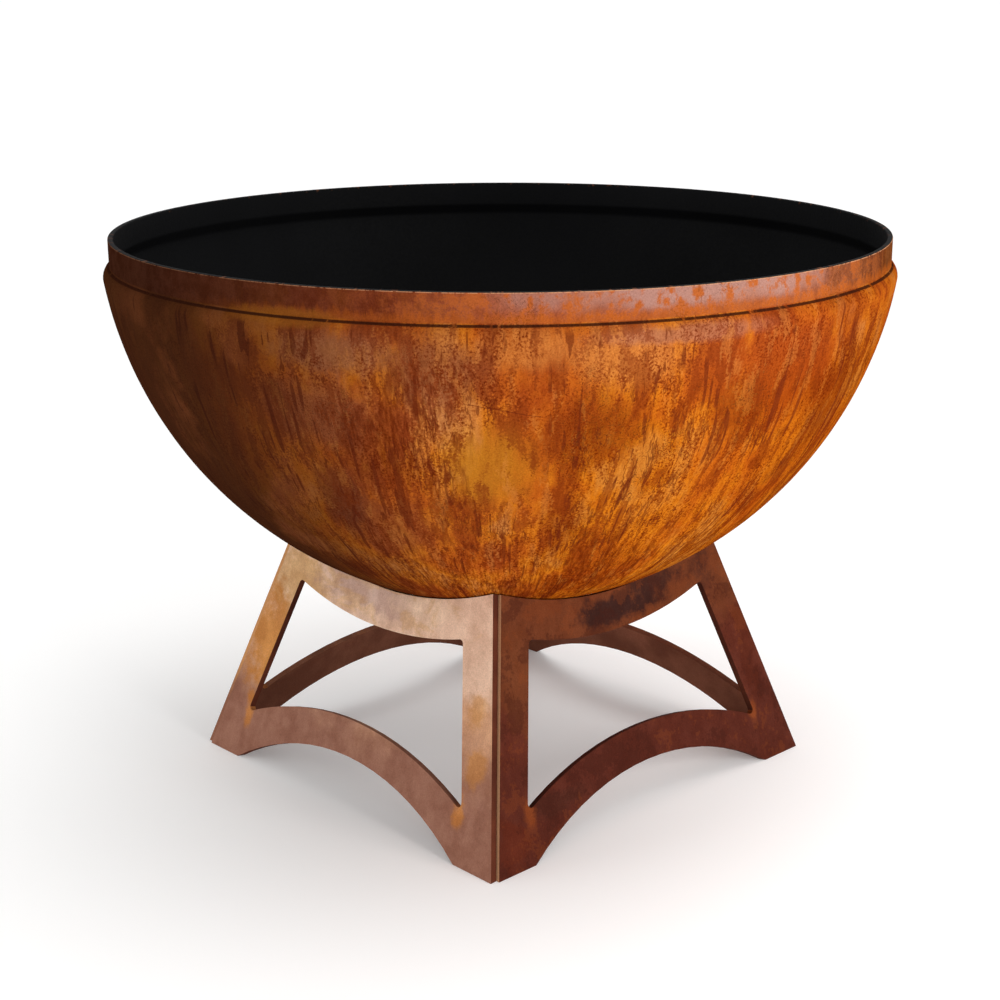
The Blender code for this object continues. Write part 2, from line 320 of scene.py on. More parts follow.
def bowl_rust():
    """The rust outside the bowl: patches, stains, drips and pits on the dish, then the band above it."""
    s = BowlShading("bowl_rust")
    clouds = s.noise(s.place, 8.0, 4.0, 0.55)
    shapes = s.streaks(13.0, 5.5, 5.0, 0.60)
    runs = s.streaks(40.0, 12.0, 4.0)
    dashes = s.streaks(115.0, 30.0)
    speckle = s.noise(s.place, 400.0, 3.0, 0.65)
    grain = s.noise(s.place, 650.0, 2.0, 0.7)
    rough_areas = s.step(s.noise(s.place, 14.0, 4.0, 0.6), 0.42, 0.58)
    # Painted shade: this mask covers the side to the camera's left, which is painted dark, with its marks
    # muted.
    shady = s.step(s.towards(-pi / 2), 0.06, 0.78)
    quiet = s.math("MULTIPLY_ADD", s.patch(-1, -25, 9, 8, clouds), -0.8, 1.0)
    lively = s.math("MULTIPLY", s.math("MULTIPLY_ADD", shady, -0.6, 1.0), quiet)

    def grainy(value, share):
        """The value with a share of the speckle added, for grainy edges."""
        return s.math("MULTIPLY_ADD", s.math("SUBTRACT", speckle, 0.5), share, value)

    def livened(value, low, high):
        """A step that stays near one half where the rust is quiet."""
        return s.math("MULTIPLY_ADD", s.math("SUBTRACT", s.step(value, low, high), 0.5), lively, 0.5)

    # The ground coat, its patches, and darker stains with grainy edges.
    blend = s.math("MULTIPLY_ADD", shapes, 0.35, s.math("MULTIPLY", clouds, 0.65))
    colour = s.ramp(blend, (0.42, RED_OXIDE), (0.485, ORANGE), (0.55, AMBER), (0.61, TAWNY))
    ragged = s.math("MULTIPLY_ADD", runs, 0.30, s.math("MULTIPLY", shapes, 0.45))
    ragged = s.math("MULTIPLY_ADD", speckle, 0.25, ragged)
    for *place, patch_colour, strength in BOWL_PATCHES:
        colour = s.mix(s.math("MULTIPLY", s.patch(*place, ragged), strength), colour, patch_colour)
    stain = s.step(grainy(shapes, 0.35), 0.47, 0.41)
    colour = s.mix(s.math("MULTIPLY", stain, 0.60), colour, RUSSET)
    stain = s.step(grainy(s.streaks(26.0, 4.0, 4.0), 0.4), 0.475, 0.415)
    stain = s.times(stain, s.step(s.latitude, -0.16, -0.24))
    colour = s.mix(s.times(stain, quiet, 0.65), colour, RUSSET)
    stain = s.times(s.step(grainy(runs, 0.5), 0.44, 0.38), rough_areas)
    colour = s.mix(s.math("MULTIPLY", stain, 0.45), colour, RUSSET)
    pale = s.step(grainy(s.streaks(22.0, 7.0, 4.0), 0.4), 0.56, 0.64)
    colour = s.mix(s.math("MULTIPLY", pale, 0.35), colour, TAWNY)

    # The side to the camera's right is a purer orange low down, and darker at its edge. Painted shade: the
    # side to the camera's left is painted darker and browner, smoother and quieter.
    pure = s.times(s.step(s.latitude, -0.18, -0.36), s.step(s.towards(pi / 2), -0.05, 0.25))
    colour = s.tint(colour, pure, (1.0, 1.0, 1.0), (0.98, 0.96, 0.58))
    colour = s.tint(colour, s.step(s.towards(pi / 2), 0.45, 0.95), (1.0, 1.0, 1.0), (0.80, 0.72, 0.62))
    colour = s.mix(s.math("MULTIPLY", shady, 0.97), colour, PAINTED_SHADE_UMBER)
    warm = s.times(shady, s.step(s.towards(-pi / 2), 0.98, 0.70), s.step(clouds, 0.50, 0.62))
    colour = s.mix(s.math("MULTIPLY", warm, 0.35), colour, BROWN)
    zone = s.math("MAXIMUM", s.patch(-13, -22, 12, 11, ragged), s.step(s.latitude, -0.55, -0.85))
    zone = s.math("MAXIMUM", zone, s.math("MULTIPLY", s.patch(160, -22, 50, 16, ragged), 0.7))
    flecked = s.tint(colour, livened(dashes, 0.36, 0.64), (0.70, 0.58, 0.54), (1.24, 1.34, 1.36))
    plain = s.tint(colour, livened(dashes, 0.34, 0.66), (0.92, 0.88, 0.86), (1.07, 1.10, 1.11))
    colour = s.mix(zone, plain, flecked)
    speckled = s.math("MULTIPLY", lively, s.math("MULTIPLY_ADD", rough_areas, 0.7, 0.3))
    spots = s.math("MULTIPLY", s.step(speckle, 0.50, 0.39), speckled)
    colour = s.tint(colour, spots, (1.08, 1.10, 1.10), (0.72, 0.56, 0.48))

    # Wriggling dark lines where drops have dried, and longer straight drips.
    # Painted shade: on the side to the camera's left the dried marks take a darker colour.
    drip_colour_and_shade = s.mix(shady, DRIED, PAINTED_SHADE_DARK)
    below = s.step(s.latitude, -0.15, -0.30)
    wriggles = s.streaks(20.0, 3.5, 4.0, 0.65)
    line = s.step(s.math("ABSOLUTE", s.math("SUBTRACT", wriggles, 0.5)), 0.018, 0.006)
    livelier = s.math("MULTIPLY_ADD", lively, 0.5, 0.5)
    line = s.times(line, s.step(clouds, 0.50, 0.56), below, quiet, quiet, livelier)
    colour = s.mix(s.math("MULTIPLY", line, 0.65), colour, drip_colour_and_shade)
    drips = s.streaks(75.0, 2.4, 1.0, 0.5)
    drip = s.step(grainy(drips, 0.15), 0.59, 0.64)
    drip_area = s.step(s.streaks(9.0, 4.0, 2.0), 0.47, 0.53)
    drip = s.times(drip, drip_area, s.step(s.latitude, -0.12, -0.14))
    colour = s.mix(s.times(drip, quiet, 0.70), colour, drip_colour_and_shade)

    # Pits, in clusters.
    pit_area = s.step(s.noise(s.place, 11.0, 3.0, 0.6), 0.52, 0.62)
    pit = s.times(s.step(speckle, 0.56, 0.62), pit_area, lively)
    colour = s.mix(s.math("MULTIPLY", pit, 0.65), colour, drip_colour_and_shade)

    # A scratch across the front.
    sideways = s.towards(pi / 2)
    drawn = s.math("MULTIPLY_ADD", sideways, -0.1415, -0.3038)
    drawn = s.math("ADD", drawn, s.math("MULTIPLY_ADD", clouds, 0.03, -0.015))
    scratch = s.step(s.math("ABSOLUTE", s.math("SUBTRACT", s.latitude, drawn)), 0.0016, 0.0006)
    scratch = s.times(scratch, s.band(sideways, -0.07, 0.085, 0.01), s.step(s.towards(0.0), 0.0, 0.1))
    colour = s.mix(s.math("MULTIPLY", scratch, 0.7), colour, DRIED)

    # The band: mottled, darker on the left with painted shade, fiery on the right, with a painted greyish
    # sheen up on the right and a bloom over the crease.
    on_band = s.step(s.z, SHOULDER_TOP_Z - 0.001, SHOULDER_TOP_Z + 0.002)
    across = s.math("MULTIPLY_ADD", sideways, 0.5, 0.5)
    band = s.ramp(across, *BAND_COLOURS_WITH_SHADE)
    mottle = s.math("MULTIPLY_ADD", runs, 0.3, s.math("MULTIPLY", s.noise(s.place, 60.0, 5.0, 0.65), 0.7))
    band = s.tint(band, s.step(mottle, 0.40, 0.60), (0.80, 0.71, 0.66), (1.17, 1.25, 1.30))
    colour = s.mix(s.math("MULTIPLY", on_band, 0.85), colour, band)
    fiery = s.times(on_band, s.step(grainy(mottle, 0.4), 0.48, 0.56),
                    s.step(sideways, -0.40, 0.10), s.step(sideways, 0.97, 0.75), 0.65)
    colour = s.mix(fiery, colour, ORANGE)
    # Painted sheen: a greyish highlight at the top of the band, to the camera's right.
    painted_band_sheen = s.times(on_band, s.patch(25, -3.0, 23, 3.2, clouds), s.step(mottle, 0.58, 0.48))
    painted_band_sheen = s.math("MULTIPLY", painted_band_sheen, s.step(s.z, SHOULDER_TOP_Z + 0.004, SHOULDER_TOP_Z + 0.014))
    colour = s.mix(s.math("MULTIPLY", painted_band_sheen, 0.85), colour, BAND_SHEEN)
    fringe = s.math("MULTIPLY_ADD", s.streaks(90.0, 3.0), 0.026, -0.008)
    bloom = s.times(s.step(s.math("SUBTRACT", s.z, fringe), SHOULDER_TOP_Z + 0.007, SHOULDER_TOP_Z - 0.002),
                    on_band, s.math("MULTIPLY_ADD", shady, -0.5, 0.5))
    colour = s.mix(bloom, colour, ORANGE)
    yellow = s.times(s.patch(-28, -6.7, 9, 1.1, ragged), 0.5)
    colour = s.mix(yellow, colour, DULL_YELLOW)

    # Painted shade: a dark line in the crease under the band. Then the thin pale line at the lip: a worn
    # edge with a painted highlight.
    # Painted shade in the crease under the band.
    crease = s.band(s.z, SHOULDER_TOP_Z - 0.0030, SHOULDER_TOP_Z - 0.0013, 0.0008)
    colour = s.mix(s.times(crease, s.step(runs, 0.28, 0.44), 0.9), colour, PAINTED_SHADE_DARK)
    # The pale line at the lip is a worn edge and a painted highlight, weaker on the painted-shade side.
    lip = s.times(s.step(s.z, RIM_Z - 0.0016, RIM_Z - 0.0005), s.step(dashes, 0.36, 0.52),
                  s.math("MULTIPLY_ADD", shady, -0.6, 0.8))
    colour = s.mix(lip, colour, BARE_LIP_AND_HIGHLIGHT)
    colour = s.tint(colour, grain, (0.62, 0.58, 0.56), (1.38, 1.42, 1.44))

    height = s.math("MULTIPLY_ADD", pit, -1.0, s.math("MULTIPLY", speckle, 0.8))
    height = s.math("MULTIPLY_ADD", grain, 0.6, s.math("MULTIPLY_ADD", line, -0.5, height))
    matt = s.math("MULTIPLY_ADD", grain, 0.25, 0.45)
    return s.finish(colour, matt, s.bump(height, 0.0005), specular=0.0)


def heat_paint():
    """Flat black stove paint with a little orange peel, greyer towards the bottom."""
    s = BowlShading("heat_paint")
    cloud = s.noise(s.place, 4.0, 3.0)
    peel = s.noise(s.place, 260.0, 2.0)
    colour = s.ramp(cloud, (0.35, (0.0030, 0.0030, 0.0034)), (0.65, (0.0055, 0.0056, 0.0062)))
    greyer_low = s.times(s.step(s.latitude, -0.65, -1.25), s.step(cloud, 0.30, 0.70))
    colour = s.mix(greyer_low, colour, GREY_LOW)
    # The paint has worn through to rust in places along the lip.
    at_lip = s.step(s.z, RIM_Z - 0.004, RIM_Z - 0.0006)
    worn = s.times(at_lip, s.step(s.streaks(60.0, 50.0, 4.0), 0.60, 0.66))
    colour = s.mix(s.math("MULTIPLY", worn, 0.6), colour, WORN_PAINT)
    matt = s.math("MULTIPLY_ADD", peel, 0.25, 0.55)
    return s.finish(colour, matt, s.bump(peel, 0.0002), specular=0.08)


# ---------------------------------------------------------------- rust on the base

# What each plate is like: its outer face low down, half way and high up; its inner face; the bloom by
# the window's lower corners.
PLATE_COLOURS = {
    "front": ((0.33, 0.150, 0.100), (0.62, 0.33, 0.19), (0.76, 0.50, 0.36),
              (0.20, 0.070, 0.040), (0.56, 0.21, 0.050)),
    "right": ((0.074, 0.016, 0.009), (0.088, 0.019, 0.010), (0.115, 0.030, 0.011),
              (0.12, 0.040, 0.022), (0.18, 0.040, 0.010)),
    "back": ((0.16, 0.050, 0.028), (0.20, 0.062, 0.030), (0.26, 0.090, 0.045),
             (0.30, 0.105, 0.060), (0.34, 0.10, 0.025)),
    "left": ((0.24, 0.095, 0.055), (0.34, 0.14, 0.075), (0.46, 0.22, 0.12),
             (0.21, 0.075, 0.043), (0.46, 0.15, 0.035)),
}
# Painted shade on the cut edges that face sideways or down, and on the plates' ends.
SHADED_CUT_EDGE = ((0.055, 0.014, 0.008), (0.100, 0.026, 0.013))
# Painted light for the lit end of each plate.
PALE_LIT_END = (0.66, 0.36, 0.19)
WEATHERED_END = ((0.30, 0.13, 0.08), (0.62, 0.30, 0.12))
VEIN = (0.66, 0.38, 0.17)

# Patches of a plate's outer face: across it to the viewer's right, height, half the width and half the
# height in metres; colour; strength.
PLATE_PATCHES = {
    "front": (
        (-0.150, 0.235, 0.050, 0.035, (0.66, 0.38, 0.16), 0.8),      # tan, where the left leg starts
        (-0.185, 0.148, 0.030, 0.055, (0.62, 0.25, 0.055), 0.85),    # orange down the left leg
        (-0.020, 0.245, 0.080, 0.022, (0.56, 0.36, 0.30), 0.7),      # grey scale under the bowl
        (0.085, 0.248, 0.045, 0.020, (0.82, 0.57, 0.40), 0.7),
        (0.192, 0.165, 0.014, 0.022, (0.62, 0.29, 0.08), 0.55),      # ochre down the right leg
        (0.202, 0.112, 0.016, 0.020, (0.58, 0.25, 0.07), 0.65),
    ),
    "right": (
        (0.000, 0.234, 0.070, 0.015, (0.034, 0.012, 0.009), 0.95),   # darker just under the bowl
        (0.060, 0.248, 0.050, 0.012, (0.040, 0.014, 0.010), 0.85),
        (0.150, 0.245, 0.018, 0.030, (0.050, 0.015, 0.009), 0.7),
        (-0.175, 0.190, 0.022, 0.070, (0.125, 0.034, 0.012), 0.7),
        (0.205, 0.150, 0.016, 0.070, (0.070, 0.0135, 0.006), 0.7),
        (-0.150, 0.055, 0.050, 0.012, (0.055, 0.015, 0.009), 0.7),
        (-0.225, 0.030, 0.020, 0.025, (0.095, 0.017, 0.007), 0.7),
    ),
    "back": (),
    "left": (),
}


class PlateShading(Shading):
    """A material that knows which plate it is on: across it, to the viewer's right, and how high."""

    def __init__(self, name, side):
        super().__init__(name)
        quarter = SIDES.index(side) * pi / 2
        x, y, self.height = self.separate(self.place)
        self.across = self.math("ADD", self.math("MULTIPLY", x, -sin(quarter)),
                                self.math("MULTIPLY", y, cos(quarter)))
        self.normal = self.tree.nodes.new("ShaderNodeTexCoord").outputs["Normal"]
        out_of_plate = (COSINE * cos(quarter), COSINE * sin(quarter), SINE)
        self.outward = self.vector("DOT_PRODUCT", self.normal, out_of_plate)
        self.ragged = self.noise(self.place, 32.0, 4.0, 0.65)

    def patch(self, across, height, half_across, half_height):
        """A ragged patch centred at a place on the plate."""
        side = self.math("DIVIDE", self.math("SUBTRACT", self.across, across), half_across)
        up = self.math("DIVIDE", self.math("SUBTRACT", self.height, height), half_height)
        away = self.vector("LENGTH", self.combine(side, up, 0.0))
        away = self.math("MULTIPLY_ADD", self.ragged, 3.0, self.math("SUBTRACT", away, 1.5))
        return self.step(away, 1.35, 0.50)


def plate_rust(side):
    """The front plate is the palest."""
    s = PlateShading(f"plate_rust_{side}", side)
    low, middle, high, inner, bloom = PLATE_COLOURS[side]
    clouds = s.noise(s.place, 13.0, 4.0, 0.6)
    rain = s.noise(s.vector("MULTIPLY", s.place, (1.0, 1.0, 0.25)), 60.0, 4.0, 0.6)
    grain = s.noise(s.place, 620.0, 3.0, 0.75)
    climb = s.math("MULTIPLY_ADD", clouds, 0.16, s.math("SUBTRACT", s.height, 0.08))
    colour = s.mix(s.step(climb, 0.07, 0.15), low, middle)
    colour = s.mix(s.step(climb, 0.15, 0.22), colour, high)
    for *place, patch_colour, strength in PLATE_PATCHES[side]:
        colour = s.mix(s.math("MULTIPLY", s.patch(*place), strength), colour, patch_colour)
    if side == "front":
        wisps = s.noise(s.vector("MULTIPLY", s.place, (1.0, 1.0, 1.8)), 12.0, 3.0, 0.5, 1.0)
        vein = s.step(s.math("ABSOLUTE", s.math("SUBTRACT", wisps, 0.5)), 0.070, 0.015)
        vein = s.times(vein, s.patch(-0.03, 0.240, 0.14, 0.040))
        colour = s.mix(s.math("MULTIPLY", vein, 0.50), colour, VEIN)
    for corner in (-1, 1):
        near = s.patch(corner * WINDOW_CORNER_ACROSS, WINDOW_CORNER_Z, 0.009, 0.018)
        colour = s.mix(s.math("MULTIPLY", near, 0.8), colour, bloom)
    colour = s.tint(colour, s.step(rain, 0.36, 0.64), (0.94, 0.92, 0.91), (1.05, 1.06, 1.06))
    colour = s.tint(colour, s.step(s.ragged, 0.36, 0.64), (0.90, 0.86, 0.84), (1.08, 1.11, 1.12))
    if side != "front":
        speckle = s.noise(s.place, 260.0, 3.0, 0.65)
        blotch = s.math("MULTIPLY_ADD", speckle, 0.3, s.noise(s.place, 22.0, 4.0, 0.6))
        darker = [part * 0.55 for part in low]
        colour = s.mix(s.math("MULTIPLY", s.step(blotch, 0.62, 0.56), 0.45), colour, darker)
        colour = s.mix(s.math("MULTIPLY", s.step(blotch, 0.70, 0.76), 0.25), colour, bloom)

    # The inner face, darker low down. Then painted shade: the cut edges that face sideways or down, and the
    # plates' ends, are painted dark.
    inner = s.mix(s.step(climb, 0.20, 0.04), inner, [part * 0.6 for part in inner])
    inner = s.tint(inner, s.step(clouds, 0.36, 0.64), (0.84, 0.80, 0.78), (1.14, 1.17, 1.18))
    colour = s.mix(s.step(s.outward, 0.2, -0.6), colour, inner)
    speckled = s.ramp(clouds, (0.38, SHADED_CUT_EDGE[0]), (0.62, SHADED_CUT_EDGE[1]))
    upward = s.separate(s.normal)[2]
    reach = s.math("MULTIPLY_ADD", s.height, tan(LEAN), s.math("ABSOLUTE", s.across))
    at_end = s.step(reach, BASE_HALF - 0.012, BASE_HALF - 0.009)
    on_edge = s.band(s.outward, -0.55, 0.62, 0.15)
    edge = s.times(on_edge, s.math("MAXIMUM", s.step(upward, 0.22, 0.02), at_end))
    colour = s.mix(edge, colour, speckled)

    # Painted light: a plate's left end, seen from outside, is painted as a pale lit line along the open
    # corner; the left plate's other end is weathered.
    quarter = SIDES.index(side) * pi / 2
    sideways = s.vector("DOT_PRODUCT", s.normal, (sin(quarter), -cos(quarter), 0.0))
    line = s.math("MULTIPLY_ADD", s.height, -tan(LEAN), s.math("ADD", s.across, BASE_HALF))
    painted_lit_end = s.times(s.step(sideways, 0.80, 0.92), s.step(line, 0.020, 0.012))
    colour = s.mix(s.math("MULTIPLY", painted_lit_end, 0.9), colour, PALE_LIT_END)
    if side == "left":
        line = s.math("MULTIPLY_ADD", s.height, tan(LEAN), s.math("SUBTRACT", s.across, BASE_HALF))
        end = s.times(s.step(sideways, -0.80, -0.92), s.step(line, -0.012, -0.006))
        colour = s.mix(end, colour, s.mix(s.step(climb, 0.05, 0.13), *WEATHERED_END))
    colour = s.tint(colour, grain, (0.60, 0.57, 0.55), (1.40, 1.43, 1.45))
    height = s.math("MULTIPLY_ADD", rain, 0.4, grain)
    matt = s.math("MULTIPLY_ADD", grain, 0.25, 0.50)
    return s.finish(colour, matt, s.bump(height, 0.0003), specular=0.02)


def weld_metal():
    """Weld bead: brown rust in the ripples, blue-grey heat tint on the crowns."""
    s = Shading("weld_metal")
    cloud = s.noise(s.place, 60.0, 3.0)
    grain = s.noise(s.place, 700.0, 3.0)
    colour = s.ramp(cloud, (0.38, (0.060, 0.018, 0.010)), (0.52, (0.16, 0.050, 0.018)),
                    (0.64, (0.11, 0.09, 0.10)))
    colour = s.tint(colour, grain, (0.7, 0.7, 0.7), (1.3, 1.3, 1.3))
    matt = s.math("MULTIPLY_ADD", grain, 0.3, 0.35)
    return s.finish(colour, matt, s.bump(grain, 0.0002), metallic=0.35)


def grate_steel():
    """Hot-rolled black bar: mill scale with rust starting through it."""
    s = Shading("grate_steel")
    cloud = s.noise(s.place, 38.0, 4.0, 0.6)
    spots = s.noise(s.place, 150.0, 3.0, 0.6)
    grain = s.noise(s.place, 600.0, 3.0)
    colour = s.ramp(cloud, (0.38, (0.018, 0.017, 0.017)), (0.60, (0.045, 0.040, 0.038)))
    rust = s.step(spots, 0.57, 0.66)
    colour = s.mix(s.math("MULTIPLY", rust, 0.8), colour, (0.17, 0.055, 0.018))
    colour = s.tint(colour, grain, (0.7, 0.7, 0.7), (1.3, 1.3, 1.3))
    height = s.math("MULTIPLY_ADD", spots, 0.8, grain)
    matt = s.math("MULTIPLY_ADD", cloud, 0.35, 0.35)
    return s.finish(colour, matt, s.bump(height, 0.0004), metallic=0.3)


# ---------------------------------------------------------------- pieces

def arc(centre, radius, start, end, steps):
    angles = [start + (end - start) * step / steps for step in range(steps + 1)]
    return [(centre[0] + radius * cos(a), centre[1] + radius * sin(a)) for a in angles]


def bowl_profile():
    """The wall's section, down the outside and up the inside to a rounded lip; how many points are rusted.

    The rest are painted: the inside, and the lip to half way round its outer edge.
    """
    lip = 0.0014
    fine, long = 8, 64
    tangent = asin((SHOULDER_Z - BOWL_CENTRE_Z) / (BOWL_RADIUS - SHOULDER_ROUND))
    shoulder, dish = (SHOULDER_R, SHOULDER_Z), (0.0, BOWL_CENTRE_Z)
    inside, inside_band = BOWL_RADIUS - BOWL_WALL, BAND_RADIUS - BOWL_WALL
    inside_round = SHOULDER_ROUND - BOWL_WALL
    rim = arc((inside_band + lip, RIM_Z - lip), lip, pi, pi / 2, fine)
    rim += arc((BAND_RADIUS - lip, RIM_Z - lip), lip, pi / 2, 0.0, fine)
    outer_crease = acos((BAND_RADIUS - SHOULDER_R) / SHOULDER_ROUND)
    bend_across, bend_up = inside_band - SHOULDER_R, SHOULDER_TOP_Z - SHOULDER_Z
    bend_reach = sqrt(bend_across ** 2 + bend_up ** 2)
    slope_start = atan2(bend_up, bend_across) - acos(inside_round / bend_reach)
    wall_down = [(BAND_RADIUS, RIM_Z - lip - (RIM_Z - lip - SHOULDER_TOP_Z) * k / 4) for k in (1, 2, 3)]
    outside = arc(shoulder, SHOULDER_ROUND, outer_crease, tangent, fine)
    outside += arc(dish, BOWL_RADIUS, tangent, -acos(DRAIN_RADIUS / BOWL_RADIUS), long)[1:]
    within = arc(dish, inside, -acos(DRAIN_RADIUS / inside), tangent, long)
    within += arc(shoulder, inside_round, tangent, slope_start, fine)[1:]
    # The bend under the band is rounded off by two points on each side of it.
    near, far = 0.0009, 0.0025
    slope = Vector((within[-1][0] - inside_band, within[-1][1] - SHOULDER_TOP_Z)).normalized()
    within += [(inside_band + slope.x * k, SHOULDER_TOP_Z + slope.y * k) for k in (far, near)]
    within += [(inside_band, SHOULDER_TOP_Z + k) for k in (near, far)]
    painted = fine + 1 + fine // 2
    rusted = rim[painted:] + wall_down + outside
    return rusted + within + rim[:painted], len(rusted)


def ripple_in(point):
    """How far the pressed dish sinks below its true sphere at a point, as hand-finished plate does."""
    direction = (point - Vector((0, 0, BOWL_CENTRE_Z))).normalized()
    broad = 0.5 + 0.5 * noise.noise(direction * 5.0)
    fine = 0.5 + 0.5 * noise.noise(direction * 19.0)
    return 0.0005 * broad + 0.0002 * fine


def make_bowl():
    """The bowl in a fine mesh: rust outside, heat paint inside."""
    profile, rusted = bowl_profile()
    steps = 224
    shape = bmesh.new()
    rings = []
    for turn in range(steps):
        angle = 2 * pi * turn / steps
        rings.append([shape.verts.new((r * cos(angle), r * sin(angle), z)) for r, z in profile])
    for turn in range(steps):
        here, there = rings[turn], rings[(turn + 1) % steps]
        for k in range(len(profile)):
            after = (k + 1) % len(profile)
            face = shape.faces.new((here[k], here[after], there[after], there[k]))
            face.material_index = 0 if k < rusted else 1
            face.smooth = True
    centre = Vector((0, 0, BOWL_CENTRE_Z))
    for vertex in shape.verts:
        inward = (centre - vertex.co).normalized()
        flat = Vector((inward.x, inward.y, 0.0)) if vertex.co.z > SHOULDER_Z else inward
        vertex.co += flat * ripple_in(vertex.co)
    bmesh.ops.recalc_face_normals(shape, faces=shape.faces)
    mesh = bpy.data.meshes.new("rusted_fire_bowl")
    shape.to_mesh(mesh)
    shape.free()
    mesh.set_sharp_from_angle(angle=radians(35))
    mesh.materials.append(bowl_rust())
    mesh.materials.append(heat_paint())
    return place_piece("rusted_fire_bowl", mesh, "stand", ["bowl"])


def place_piece(name, mesh, body, nodes=()):
    piece = bpy.data.objects.new(name, mesh)
    bpy.context.scene.collection.objects.link(piece)
    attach(piece, body)
    if nodes:
        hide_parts(*nodes)
    return piece


def loft(name, centres, radii, sides, material, wobble=0.0):
    """A closed round bar through centres, with a radius at each and hollows up to wobble deep."""
    shape = bmesh.new()
    path = [Vector(point) for point in centres]
    rings = []
    side_way = None
    for index, point in enumerate(path):
        ahead = path[min(index + 1, len(path) - 1)] - path[max(index - 1, 0)]
        ahead.normalize()
        if side_way is None:
            side_way = ahead.orthogonal().normalized()
        side_way = (side_way - ahead * side_way.dot(ahead)).normalized()
        other_way = ahead.cross(side_way)
        ring = []
        for k in range(sides):
            angle = 2 * pi * k / sides
            away = side_way * cos(angle) + other_way * sin(angle)
            reach = radii[index]
            if wobble:
                reach -= wobble * (0.5 + 0.5 * noise.noise((point + away * reach) * 90.0))
            ring.append(shape.verts.new(point + away * reach))
        rings.append(ring)
    for here, there in zip(rings, rings[1:]):
        for k in range(sides):
            after = (k + 1) % sides
            shape.faces.new((here[k], here[after], there[after], there[k])).smooth = True
    shape.faces.new(rings[0])
    shape.faces.new(rings[-1])
    bmesh.ops.recalc_face_normals(shape, faces=shape.faces)
    mesh = bpy.data.meshes.new(name)
    shape.to_mesh(mesh)
    shape.free()
    mesh.set_sharp_from_angle(angle=radians(50))
    mesh.materials.append(material)
    return mesh


def bead(name, line, radius, material, node):
    """A weld bead with its ripples, one every pitch along a line given as a function of 0 to 1."""
    pitch, per_ripple, ends = 0.0042, 4, 3
    samples = 40
    along = [Vector(line(k / samples)) for k in range(samples + 1)]
    length = sum((there - here).length for here, there in zip(along, along[1:]))
    count = int(length / pitch) * per_ripple
    centres, radii = [], []
    for k in range(count + 1):
        part = k / count
        rise = abs(sin(pi * k / per_ripple))
        taper = min(1.0, sqrt(min(k + 0.4, count - k + 0.4) / ends))
        centres.append(line(part))
        radii.append(radius * (0.86 + 0.14 * rise) * taper)
    mesh = loft(name, centres, radii, 14, material, wobble=0.0003)
    return place_piece(name, mesh, "stand", [node])


def make_welds():
    """The inside welds: plate to plate up each corner, and bowl to plate along each cradle."""
    metal = weld_metal()
    corner_radius, corner_sink = 0.0043, 0.0006
    inset = BASE_HALF - (PLATE + corner_radius - corner_sink) / COSINE
    low, high = 0.0046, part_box("corner_weld_back_right")[1].z - 0.001
    cradle_radius, cradle_sink = 0.0038, 0.0008
    outer_face = COSINE * BASE_HALF - SINE * BOWL_CENTRE_Z
    off_face = outer_face - PLATE - cradle_radius + cradle_sink
    sweep = radians(14)
    reach = sqrt((BOWL_RADIUS + cradle_radius - cradle_sink) ** 2 - off_face ** 2)
    for quarter in range(4):
        turn = Matrix.Rotation(quarter * pi / 2, 3, "Z")

        def corner_line(part):
            z = low + (high - low) * part
            side = inset - z * tan(LEAN)
            return turn @ Vector((side, side, z))

        def cradle_line(part):
            angle = sweep * (2 * part - 1)
            across, up = reach * sin(angle), -reach * cos(angle)
            return turn @ Vector((COSINE * off_face - SINE * up, across,
                                  BOWL_CENTRE_Z + SINE * off_face + COSINE * up))

        bead(f"corner_bead_{CORNERS[quarter]}", corner_line, corner_radius, metal,
             f"corner_weld_{CORNERS[quarter]}")
        bead(f"cradle_bead_{SIDES[quarter]}", cradle_line, cradle_radius, metal,
             f"cradle_weld_{SIDES[quarter]}")


def make_grate():
    """Round bars with chamfered ends on a rolled ring, tacked where they cross it."""
    steel = grate_steel()
    low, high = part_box("grate_ring")
    ring_bar = (high.z - low.z) / 2
    ring_z = (high.z + low.z) / 2
    ring_radius = high.x - ring_bar
    make_ring(ring_radius, ring_z, steel)
    for index in range(1, 10):
        node = f"grate_bar_{index}"
        low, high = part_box(node)
        bar = (high.z - low.z) / 2
        y, z = (low.y + high.y) / 2, (low.z + high.z) / 2
        chamfer = 0.0012
        inner = 26
        xs = [low.x, low.x + chamfer]
        xs += [low.x + chamfer + (high.x - low.x - 2 * chamfer) * k / inner for k in range(1, inner)]
        xs += [high.x - chamfer, high.x]
        radii = [bar - chamfer] + [bar] * (len(xs) - 2) + [bar - chamfer]
        mesh = loft(f"fire_bar_{index}", [(x, y, z) for x in xs], radii, 20, steel, wobble=0.00035)
        place_piece(f"fire_bar_{index}", mesh, "grate", [node])
        make_tacks(index, y, z - bar, ring_radius, steel)
    for index in (1, 2):
        finish_node(f"grate_bearer_{index}", steel, 0.0007)


